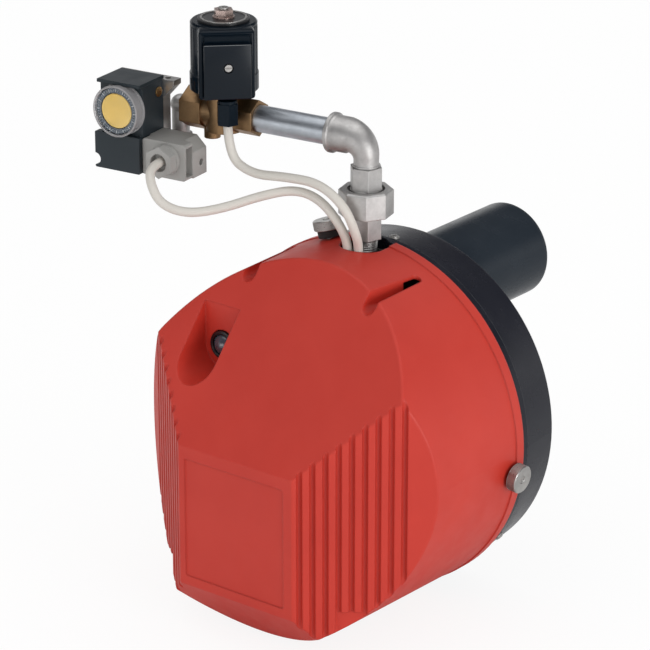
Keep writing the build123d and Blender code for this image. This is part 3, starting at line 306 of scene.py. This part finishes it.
def spun(name, profile, sides=72):
    """Ring about its own Z axis, spun from a closed outline of radius and height in mm."""
    bpy.ops.object.select_all(action="DESELECT")
    bpy.ops.mesh.primitive_plane_add(size=0.001)
    piece = bpy.context.active_object
    piece.name = name
    corners = [Vector((radius, 0, height)) / 1000 for radius, height in profile]

    def draw():
        bpy.ops.mesh.merge(type="CENTER")
        bpy.ops.transform.translate(value=corners[0])
        for before, after in zip(corners, corners[1:] + corners[:1]):
            bpy.ops.mesh.extrude_region_move(TRANSFORM_OT_translate={"value": after - before})
        bpy.ops.mesh.select_all(action="SELECT")
        bpy.ops.mesh.remove_doubles(threshold=1e-6)
        bpy.ops.mesh.spin(steps=sides, angle=2 * pi, center=(0, 0, 0), axis=(0, 0, 1))
        bpy.ops.mesh.select_all(action="SELECT")
        bpy.ops.mesh.remove_doubles(threshold=1e-6)
        bpy.ops.mesh.normals_make_consistent(inside=False)

    shape(draw)
    return piece


def select_faces(piece, test):
    """Leaves selected only the faces whose centre and normal pass a test."""
    bpy.ops.object.mode_set(mode="EDIT")
    bpy.ops.mesh.select_mode(type="FACE")
    bpy.ops.mesh.select_all(action="DESELECT")
    bpy.ops.object.mode_set(mode="OBJECT")
    for face in piece.data.polygons:
        face.select = test(face.center * 1000, face.normal)
    bpy.ops.object.mode_set(mode="EDIT")


def stamp(piece, test, thickness, depth, each=False):
    """Insets the chosen faces and pushes them in or out, in millimetres."""
    select_faces(piece, test)
    bpy.ops.mesh.inset(thickness=thickness / 1000, depth=depth / 1000, use_individual=each)
    bpy.ops.object.mode_set(mode="OBJECT")


def rounded_block(name, size, corner, segments=3):
    """Block of a size in millimetres about its own centre, all edges rounded."""
    bpy.ops.object.select_all(action="DESELECT")
    bpy.ops.mesh.primitive_cube_add(size=1)
    block = bpy.context.active_object
    block.name = name
    block.scale = Vector(size) / 1000
    bpy.ops.object.transform_apply(location=False, rotation=False, scale=True)
    if corner:
        round_edges(block, corner, segments)
    return block


def round_edges(piece, corner, segments=3):
    edge = piece.modifiers.new("edge", "BEVEL")
    edge.width = corner / 1000
    edge.segments = segments
    edge.limit_method = "ANGLE"
    edge.angle_limit = radians(40)
    bpy.context.view_layer.objects.active = piece
    bpy.ops.object.modifier_apply(modifier="edge")


def cut_with(piece, tool):
    """Takes the tool's shape out of the piece."""
    cut = piece.modifiers.new("cut", "BOOLEAN")
    cut.operation = "DIFFERENCE"
    cut.object = tool
    bpy.context.view_layer.objects.active = piece
    bpy.ops.object.modifier_apply(modifier="cut")
    bpy.data.objects.remove(tool)


def joined(pieces):
    bpy.ops.object.select_all(action="DESELECT")
    for piece in pieces:
        piece.select_set(True)
    bpy.context.view_layer.objects.active = pieces[0]
    bpy.ops.object.join()
    return bpy.context.active_object


def stand(piece, origin, ahead, across):
    """Sets a piece's own Z along ahead and its X along across, and fixes that in its mesh."""
    select_only(piece)
    turned = Matrix((across, ahead.cross(across), ahead)).transposed()
    piece.matrix_world = Matrix.Translation(origin) @ turned.to_4x4()
    bpy.ops.object.transform_apply(location=True, rotation=True, scale=True)


def hand_over(piece, material, body, stands_for=(), sharp=35):
    """Gives a finished piece its material, its body and the nodes that it stands for."""
    select_only(piece)
    bpy.ops.object.shade_smooth_by_angle(angle=radians(sharp))
    piece.data.name = piece.name
    piece.data.materials.append(material)
    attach(piece, body)
    for node in stands_for:
        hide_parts(node)


# thumb screws
HOOD_R = 142.2
KNOB_Y = -12.5
KNOBS = {"right": (-6.5, 2.2), "top": (104.8, 7.0), "lower": (233.0, 2.2)}
KNOB_OUTLINE = (
    (3.0, -14.0), (3.0, 0.0), (10.6, 0.0), (11.2, 0.6), (11.2, 2.0), (11.2, 3.3), (11.2, 4.6),
    (11.2, 6.0), (11.2, 7.2), (10.5, 8.0), (9.7, 8.0), (3.2, 7.6), (2.9, 7.2), (2.9, 6.9),
    (0.0, 6.9), (0.0, -14.0),
)
KNURL_BORDER = 0.06
KNURL_DEPTH = 0.28
DRIVER_SLOT = (1.0, 7.0, 2.0)
DRIVER_SLOT_HEIGHT = 0.0077


def thumb_screw(side):
    """Knurled head with a turned face, on its plain shank."""
    turn, lift = KNOBS[side]
    out = Vector((cos(radians(turn)), 0, sin(radians(turn))))
    knob = spun(f"thumb_screw_{side}_knurled", KNOB_OUTLINE, 96)

    def on_rim(centre, normal):
        return abs(normal.z) < 0.1 and centre.xy.length > 11.0

    stamp(knob, on_rim, KNURL_BORDER, -KNURL_DEPTH, each=True)
    slot = rounded_block("slot", DRIVER_SLOT, 0)
    slot.location.z = DRIVER_SLOT_HEIGHT
    cut_with(knob, slot)
    stand(knob, spot(*((HOOD_R + lift) * out + Vector((0, KNOB_Y, 0)))), out, Vector((0, 1, 0)))
    hand_over(knob, zinc, f"knob_{side}", [f"thumb_screw_{side}"])


for side in KNOBS:
    thumb_screw(side)


# solenoid coil
COIL_AT = train_spot(-128.4, 0, 0)
COIL_TURN = radians(44.5)
COIL_AHEAD = Vector((sin(COIL_TURN), -cos(COIL_TURN), 0))
COIL_ACROSS = Vector((cos(COIL_TURN), sin(COIL_TURN), 0))
COIL_OUTLINE = (
    (7.3, 245.5), (25.8, 245.5), (27.0, 246.7), (27.0, 259.4), (26.2, 260.4), (26.2, 297.0),
    (25.7, 297.5), (25.7, 298.1), (26.2, 298.6), (26.2, 299.8), (25.0, 301.0), (7.3, 301.0),
)
COIL_SIDES = 96
FLUTE_TURN = 3.75
FLUTE_BORDER = 0.25
FLUTE_DEPTH = 0.5
BOSS_SIZE = (43.6, 55.0, 21.0)
BOSS_FRAME = ((1.3, -0.7), (0.7, 1.0))
BOSS_AT = COIL_AT + COIL_AHEAD * 0.0205 + UP * 0.2730
LID_SIZE = (36.8, 49.6, 6.6)
LID_SLOPE = 0.0060
LID_AT = COIL_AT + COIL_AHEAD * 0.0343 + UP * 0.2724


def turn_about_z(centre):
    """Degrees round the Z axis at which a face sits."""
    return atan2(centre.y, centre.x) * 180 / pi


def coil_housing():
    """Fluted round housing with the framed boss of its terminals."""
    round_part = spun("coil_housing", COIL_OUTLINE, COIL_SIDES)

    def flutes(centre, normal):
        side = round(turn_about_z(centre) / FLUTE_TURN)
        return 262 < centre.z < 296 and abs(normal.z) < 0.1 and side % 3 == 0

    stamp(round_part, flutes, FLUTE_BORDER, -FLUTE_DEPTH, each=True)
    stand(round_part, COIL_AT, UP, COIL_ACROSS)
    boss = rounded_block("boss", BOSS_SIZE, 2.6, 4)
    for border, depth in BOSS_FRAME:
        stamp(boss, lambda centre, normal: normal.z > 0.999, border, depth)
    stand(boss, BOSS_AT, COIL_AHEAD, COIL_ACROSS)
    housing = joined([round_part, boss])
    hand_over(housing, coil_moulding, "burner", ["valve_coil"])


def terminal_lid():
    """Screwed lid with a sloping top edge and the sunk hole of its screw."""
    lid = rounded_block("terminal_lid", LID_SIZE, 0)
    select_faces(lid, lambda centre, normal: normal.y > 0.9)
    bpy.ops.mesh.select_mode(type="EDGE")
    bpy.ops.object.mode_set(mode="OBJECT")
    for edge in lid.data.edges:
        ends = [lid.data.vertices[index].co for index in edge.vertices]
        edge.select = all(end.y > 0.02 and end.z > 0.003 for end in ends)
    bpy.ops.object.mode_set(mode="EDIT")
    bpy.ops.transform.translate(value=(0, -LID_SLOPE, 0))
    bpy.ops.object.mode_set(mode="OBJECT")
    round_edges(lid, 0.9)
    bpy.ops.mesh.primitive_cylinder_add(
        vertices=40, radius=0.0038, depth=0.005, location=(0.0006, 0.0002, 0.0033)
    )
    cut_with(lid, bpy.context.active_object)
    stand(lid, LID_AT, COIL_AHEAD, COIL_ACROSS)
    hand_over(lid, lid_moulding, "burner", ["terminal_cover"])
    # the lid's upward, forward-facing slope takes the lighter colour, a painted highlight
    lid.data.materials.append(lid_slope_painted_highlight)
    for face in lid.data.polygons:
        if face.normal.z > 0.5 and face.normal.dot(COIL_AHEAD) > 0.5:
            face.material_index = 1


coil_housing()
terminal_lid()


# pressure switch
DIAL_SEAT = train_spot(-191.0, -48.9, 232.2)
CUP_OUTLINE = (
    (18.9, 0.0), (20.9, 0.0), (20.9, 1.4), (20.1, 1.8), (19.9, 9.0), (20.6, 9.5), (20.6, 10.7),
    (20.1, 11.2), (19.3, 11.2), (18.9, 10.7),
)
WINDOW_OUTLINE = ((0.0, 9.7), (18.8, 9.7), (18.8, 10.5), (0.0, 10.5))
DIAL_OUTLINE = (
    (0.0, -3.2), (3.0, -3.2), (3.0, 0.0), (13.9, 0.0), (13.9, 8.0), (13.5, 8.4), (0.0, 8.4),
)
SCALE_OUTLINE = ((14.3, 0.0), (18.6, 0.0), (18.6, 8.6), (18.2, 9.0), (14.7, 9.0), (14.3, 8.6))


MARK_COUNT = 48
MARK_RING = 0.0167
LONG_MARK = (2.3, 0.75, 0.24)
SHORT_MARK = (1.2, 0.3, 0.24)


def dial_pieces():
    """Clear cup, printed scale and yellow dial on the switch's front."""
    wall = spun("dial_cup", CUP_OUTLINE, 96)
    stand(wall, DIAL_SEAT, FRONT, ALONG)
    hand_over(wall, hazy, "burner", ["dial_cover"])
    window = spun("dial_window", WINDOW_OUTLINE, 96)
    stand(window, DIAL_SEAT, FRONT, ALONG)
    hand_over(window, cup, "burner")
    face = spun("dial_face", DIAL_OUTLINE, 80)
    stand(face, DIAL_SEAT + FRONT * 0.0003, FRONT, ALONG)
    hand_over(face, yellow_dial, "dial", ["pressure_dial"])
    scale = spun("scale_ring", SCALE_OUTLINE, 80)
    stand(scale, DIAL_SEAT, FRONT, ALONG)
    hand_over(scale, scale_grey, "burner", ["dial_scale"])
    marks = []
    for index in range(MARK_COUNT):
        angle = 2 * pi * index / MARK_COUNT
        mark = rounded_block(f"mark_{index}", SHORT_MARK if index % 3 else LONG_MARK, 0)
        out = Vector((cos(angle), sin(angle), 0))
        stand(mark, out * MARK_RING + UP * 0.0090, UP, out)
        marks.append(mark)
    print_marks = joined(marks)
    print_marks.name = "scale_marks"
    stand(print_marks, DIAL_SEAT, FRONT, ALONG)
    hand_over(print_marks, print_white, "burner")


dial_pieces()


# riser thread
RISER_ENDS = (88.0, 156.0)
RISER_BORE = 7.5
CREST = 9.2
ROOT = 8.5


def thread_outline(low, high, pitch):
    """Pipe thread as rings between two heights, on a nipple with its bore."""
    foot, top = RISER_ENDS
    outline = [(RISER_BORE, foot), (CREST, foot), (CREST, low)]
    height = low
    while height + pitch < high:
        outline += [(ROOT, height + pitch * 0.5), (CREST, height + pitch)]
        height += pitch
    return outline + [(CREST, top), (RISER_BORE, top)]


riser = spun("threaded_riser", thread_outline(128.0, 147.0, 1.8), 72)
stand(riser, train_spot(0, 0, 0), UP, ALONG)
hand_over(riser, zinc, "burner", ["riser_nipple"])


# street elbow
BEND = 15.5
LINE_Z = 226.2
MOUTH_X = -30.5
LEG_TOP = 204.0
BODY = 14.2
NARROWS_BY = 4.2
BEND_STEPS = 12
BORE_RADIUS = 0.01075
BORE_DEPTH = 0.0255
BAND = (
    (0.0, 15.2), (0.5, 15.9), (3.0, 15.9), (3.6, 15.2), (4.4, 14.5), (6.0, 14.3), (15.0, BODY),
)
LEG = ((5.4, 9.9), (1.8, 9.8), (1.4, 10.6), (0.1, 10.6), (0.0, 9.0), (-13.4, 9.0))


def elbow_casting():
    """Cast bend that narrows from its banded socket to its leg."""
    stations = [(MOUTH_X + ahead, LINE_Z, radius) for ahead, radius in BAND]
    for step in range(1, BEND_STEPS + 1):
        swing = radians(90 * step / BEND_STEPS)
        radius = BODY - NARROWS_BY * sin(swing / 2) / sin(pi / 4)
        stations.append((-BEND + BEND * sin(swing), LINE_Z - BEND + BEND * cos(swing), radius))
    stations += [(0, LEG_TOP + height, radius) for height, radius in LEG]
    data = bpy.data.curves.new("street_elbow_casting", "CURVE")
    data.dimensions = "3D"
    data.bevel_depth = 0.001
    data.bevel_resolution = 12
    data.use_fill_caps = True
    line = data.splines.new("POLY")
    line.points.add(len(stations) - 1)
    for point, (along, height, radius) in zip(line.points, stations):
        point.co = (*train_spot(along, 0, height), 1)
        point.radius = radius
    elbow = bpy.data.objects.new("street_elbow_casting", data)
    bpy.context.collection.objects.link(elbow)
    select_only(elbow)
    bpy.ops.object.convert(target="MESH")
    elbow = bpy.context.active_object

    def weld():
        bpy.ops.mesh.remove_doubles(threshold=1e-6)
        bpy.ops.mesh.normals_make_consistent(inside=False)

    shape(weld)
    bpy.ops.mesh.primitive_cylinder_add(vertices=72, radius=BORE_RADIUS, depth=BORE_DEPTH)
    bore = bpy.context.active_object
    stand(bore, train_spot(MOUTH_X, 0, LINE_Z), ALONG, UP)
    cut_with(elbow, bore)
    elbow.name = "street_elbow_casting"
    hand_over(elbow, cast_grey, "burner", ["street_elbow"])


elbow_casting()


# cables
CABLE = 0.0073
VALVE_ROUTE = (
    (-106.3, -51.7, 230.0),
    (-106.3, -51.7, 201.0),
    (-83.7, -51.2, 189.7),
    (-51.2, -48.3, 193.4),
    (-22.0, -44.3, 193.6),
    (1.5, -43.0, 180.0),
    (7.6, -36.1, 156.6),
    (4.6, -28.6, 142.0),
    (4.6, -28.6, 122.0),
)
SWITCH_ROUTE = (
    (-141.668, -88.606, 198.0),
    (-139.432, -106.064, 198.0),
    (-131.0, -115.0, 188.0),
    (-121.5, -114.0, 173.5),
    (-104.5, -102.5, 166.5),
    (-86.7, -80.4, 169.2),
    (-66.9, -60.8, 178.0),
    (-47.0, -42.5, 183.0),
    (-25.1, -39.1, 178.6),
    (-7.5, -37.9, 162.7),
    (-3.4, -30.6, 143.0),
    (-3.4, -30.6, 122.0),
)


def cable(name, node, route):
    """Round sheath swept along the given route of the node it stands for."""
    data = bpy.data.curves.new(name, "CURVE")
    data.dimensions = "3D"
    data.resolution_u = 10
    data.bevel_depth = CABLE / 2
    data.bevel_resolution = 6
    data.use_fill_caps = True
    line = data.splines.new("NURBS")
    line.points.add(len(route) - 1)
    for point, place in zip(line.points, route):
        point.co = (*spot(*place), 1)
    line.order_u = 3
    line.use_endpoint_u = True
    sheath = bpy.data.objects.new(name, data)
    bpy.context.collection.objects.link(sheath)
    data.materials.append(white_sheath)
    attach(sheath, "burner")
    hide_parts(node)


cable("valve_cable_sheath", "valve_cable", VALVE_ROUTE)
cable("switch_cable_sheath", "switch_cable", SWITCH_ROUTE)


# camera
CAMERA_AZIMUTH = radians(38.48)
CAMERA_HEIGHT = radians(21.26)
CAMERA_PLACE = spot(1510.6, -1965.1, 1033.5)
CAMERA_LENS = 188.3

right = Vector((cos(CAMERA_AZIMUTH), sin(CAMERA_AZIMUTH), 0))
back = Vector((
    sin(CAMERA_AZIMUTH) * cos(CAMERA_HEIGHT),
    -cos(CAMERA_AZIMUTH) * cos(CAMERA_HEIGHT),
    sin(CAMERA_HEIGHT),
))
camera_data = bpy.data.cameras.new("camera")
camera_data.lens = CAMERA_LENS
camera_data.sensor_width = 36
camera_data.clip_end = 50
camera = bpy.data.objects.new("camera", camera_data)
bpy.context.collection.objects.link(camera)
aim = Matrix((right, back.cross(right), back)).transposed()
camera.matrix_world = Matrix.Translation(CAMERA_PLACE) @ aim.to_4x4()
bpy.context.scene.camera = camera


# floor, backdrop colour and lamps
def seen_plainly(tree, rays):
    """One where the camera looks straight at a thing or through clear plastic, else zero."""
    seen = tree.nodes.new("ShaderNodeMath")
    seen.operation = "MAXIMUM"
    tree.links.new(rays.outputs["Is Camera Ray"], seen.inputs[0])
    tree.links.new(rays.outputs["Is Transmission Ray"], seen.inputs[1])
    return seen.outputs["Value"]


def white_to_camera(tree, shader_output, strength, keep):
    """Mixes a plain white into what the camera sees directly or through clear plastic."""
    rays = tree.nodes.new("ShaderNodeLightPath")
    glow = tree.nodes.new("ShaderNodeEmission")
    glow.inputs["Strength"].default_value = strength
    share = tree.nodes.new("ShaderNodeMath")
    share.operation = "MULTIPLY"
    share.inputs[1].default_value = 1 - keep
    mix = tree.nodes.new("ShaderNodeMixShader")
    tree.links.new(seen_plainly(tree, rays), share.inputs[0])
    tree.links.new(share.outputs["Value"], mix.inputs["Fac"])
    tree.links.new(shader_output, mix.inputs[1])
    tree.links.new(glow.outputs["Emission"], mix.inputs[2])
    return mix.outputs["Shader"]


def floor_finish():
    material, tree, bsdf = new_finish("floor_white")
    bsdf.inputs["Base Color"].default_value = (0.9, 0.9, 0.9, 1)
    bsdf.inputs["Roughness"].default_value = 0.8
    out = tree.nodes["Material Output"]
    tree.links.new(white_to_camera(tree, bsdf.outputs["BSDF"], 1.04, 0.16), out.inputs["Surface"])
    return material


FLOOR_SIZE = 12
FLOOR_DROP = 0.0005
bpy.ops.mesh.primitive_plane_add(size=FLOOR_SIZE, location=(0, 0, cad_box[0][2] - FLOOR_DROP))
floor = bpy.context.active_object
floor.name = "floor"
bpy.ops.object.transform_apply(location=True, rotation=False, scale=True)
floor.data.materials.append(floor_finish())

AMBIENT = 0.80
ROOM_STRENGTH = 2.0
ROOM_BELOW = (0.12, (0.5, 0.5, 0.5, 1))
ROOM_WALL = (0.36, (0.05, 0.05, 0.055, 1))
ROOM_HIGH = (0.72, (0.06, 0.06, 0.065, 1))
ROOM_LAMP = (0.86, (0.85, 0.85, 0.85, 1))


def studio():
    """White to the camera, even light on the object, dark walls in what its gloss mirrors."""
    world = bpy.data.worlds.new("studio")
    world.use_nodes = True
    bpy.context.scene.world = world
    tree = world.node_tree
    even = tree.nodes["Background"]
    even.inputs["Color"].default_value = (1, 1, 1, 1)
    even.inputs["Strength"].default_value = AMBIENT
    white = tree.nodes.new("ShaderNodeBackground")
    white.inputs["Color"].default_value = (1, 1, 1, 1)
    white.inputs["Strength"].default_value = 1.0
    room = tree.nodes.new("ShaderNodeBackground")
    room.inputs["Strength"].default_value = ROOM_STRENGTH
    direction = tree.nodes.new("ShaderNodeTexCoord")
    parts = tree.nodes.new("ShaderNodeSeparateXYZ")
    tree.links.new(direction.outputs["Generated"], parts.inputs["Vector"])
    walls = tree.nodes.new("ShaderNodeValToRGB")
    stops = walls.color_ramp.elements
    stops[0].position, stops[0].color = ROOM_BELOW
    stops[1].position, stops[1].color = ROOM_WALL
    for height, colour in (ROOM_HIGH, ROOM_LAMP):
        stops.new(height).color = colour
    tree.links.new(parts.outputs["Z"], walls.inputs["Fac"])
    tree.links.new(walls.outputs["Color"], room.inputs["Color"])
    rays = tree.nodes.new("ShaderNodeLightPath")
    gloss = tree.nodes.new("ShaderNodeMixShader")
    tree.links.new(rays.outputs["Is Glossy Ray"], gloss.inputs["Fac"])
    tree.links.new(even.outputs["Background"], gloss.inputs[1])
    tree.links.new(room.outputs["Background"], gloss.inputs[2])
    mix = tree.nodes.new("ShaderNodeMixShader")
    tree.links.new(seen_plainly(tree, rays), mix.inputs["Fac"])
    tree.links.new(gloss.outputs["Shader"], mix.inputs[1])
    tree.links.new(white.outputs["Background"], mix.inputs[2])
    tree.links.new(mix.outputs["Shader"], tree.nodes["World Output"].inputs["Surface"])


studio()


def softbox(name, place, aim, size, power):
    data = bpy.data.lights.new(name, "AREA")
    data.shape = "SQUARE"
    data.size = size
    data.energy = power
    lamp = bpy.data.objects.new(name, data)
    bpy.context.collection.objects.link(lamp)
    lamp.location = place
    lamp.rotation_euler = (Vector(aim) - Vector(place)).to_track_quat("-Z", "Y").to_euler()


softbox("key_light", (2.0, -0.6, 0.15), (0, -0.1, 0), 1.0, 16)
softbox("fill_light", (-0.3, -2.2, -0.1), (0, -0.1, 0), 1.0, 5)

view = bpy.context.scene.view_settings
view.view_transform = "Standard"
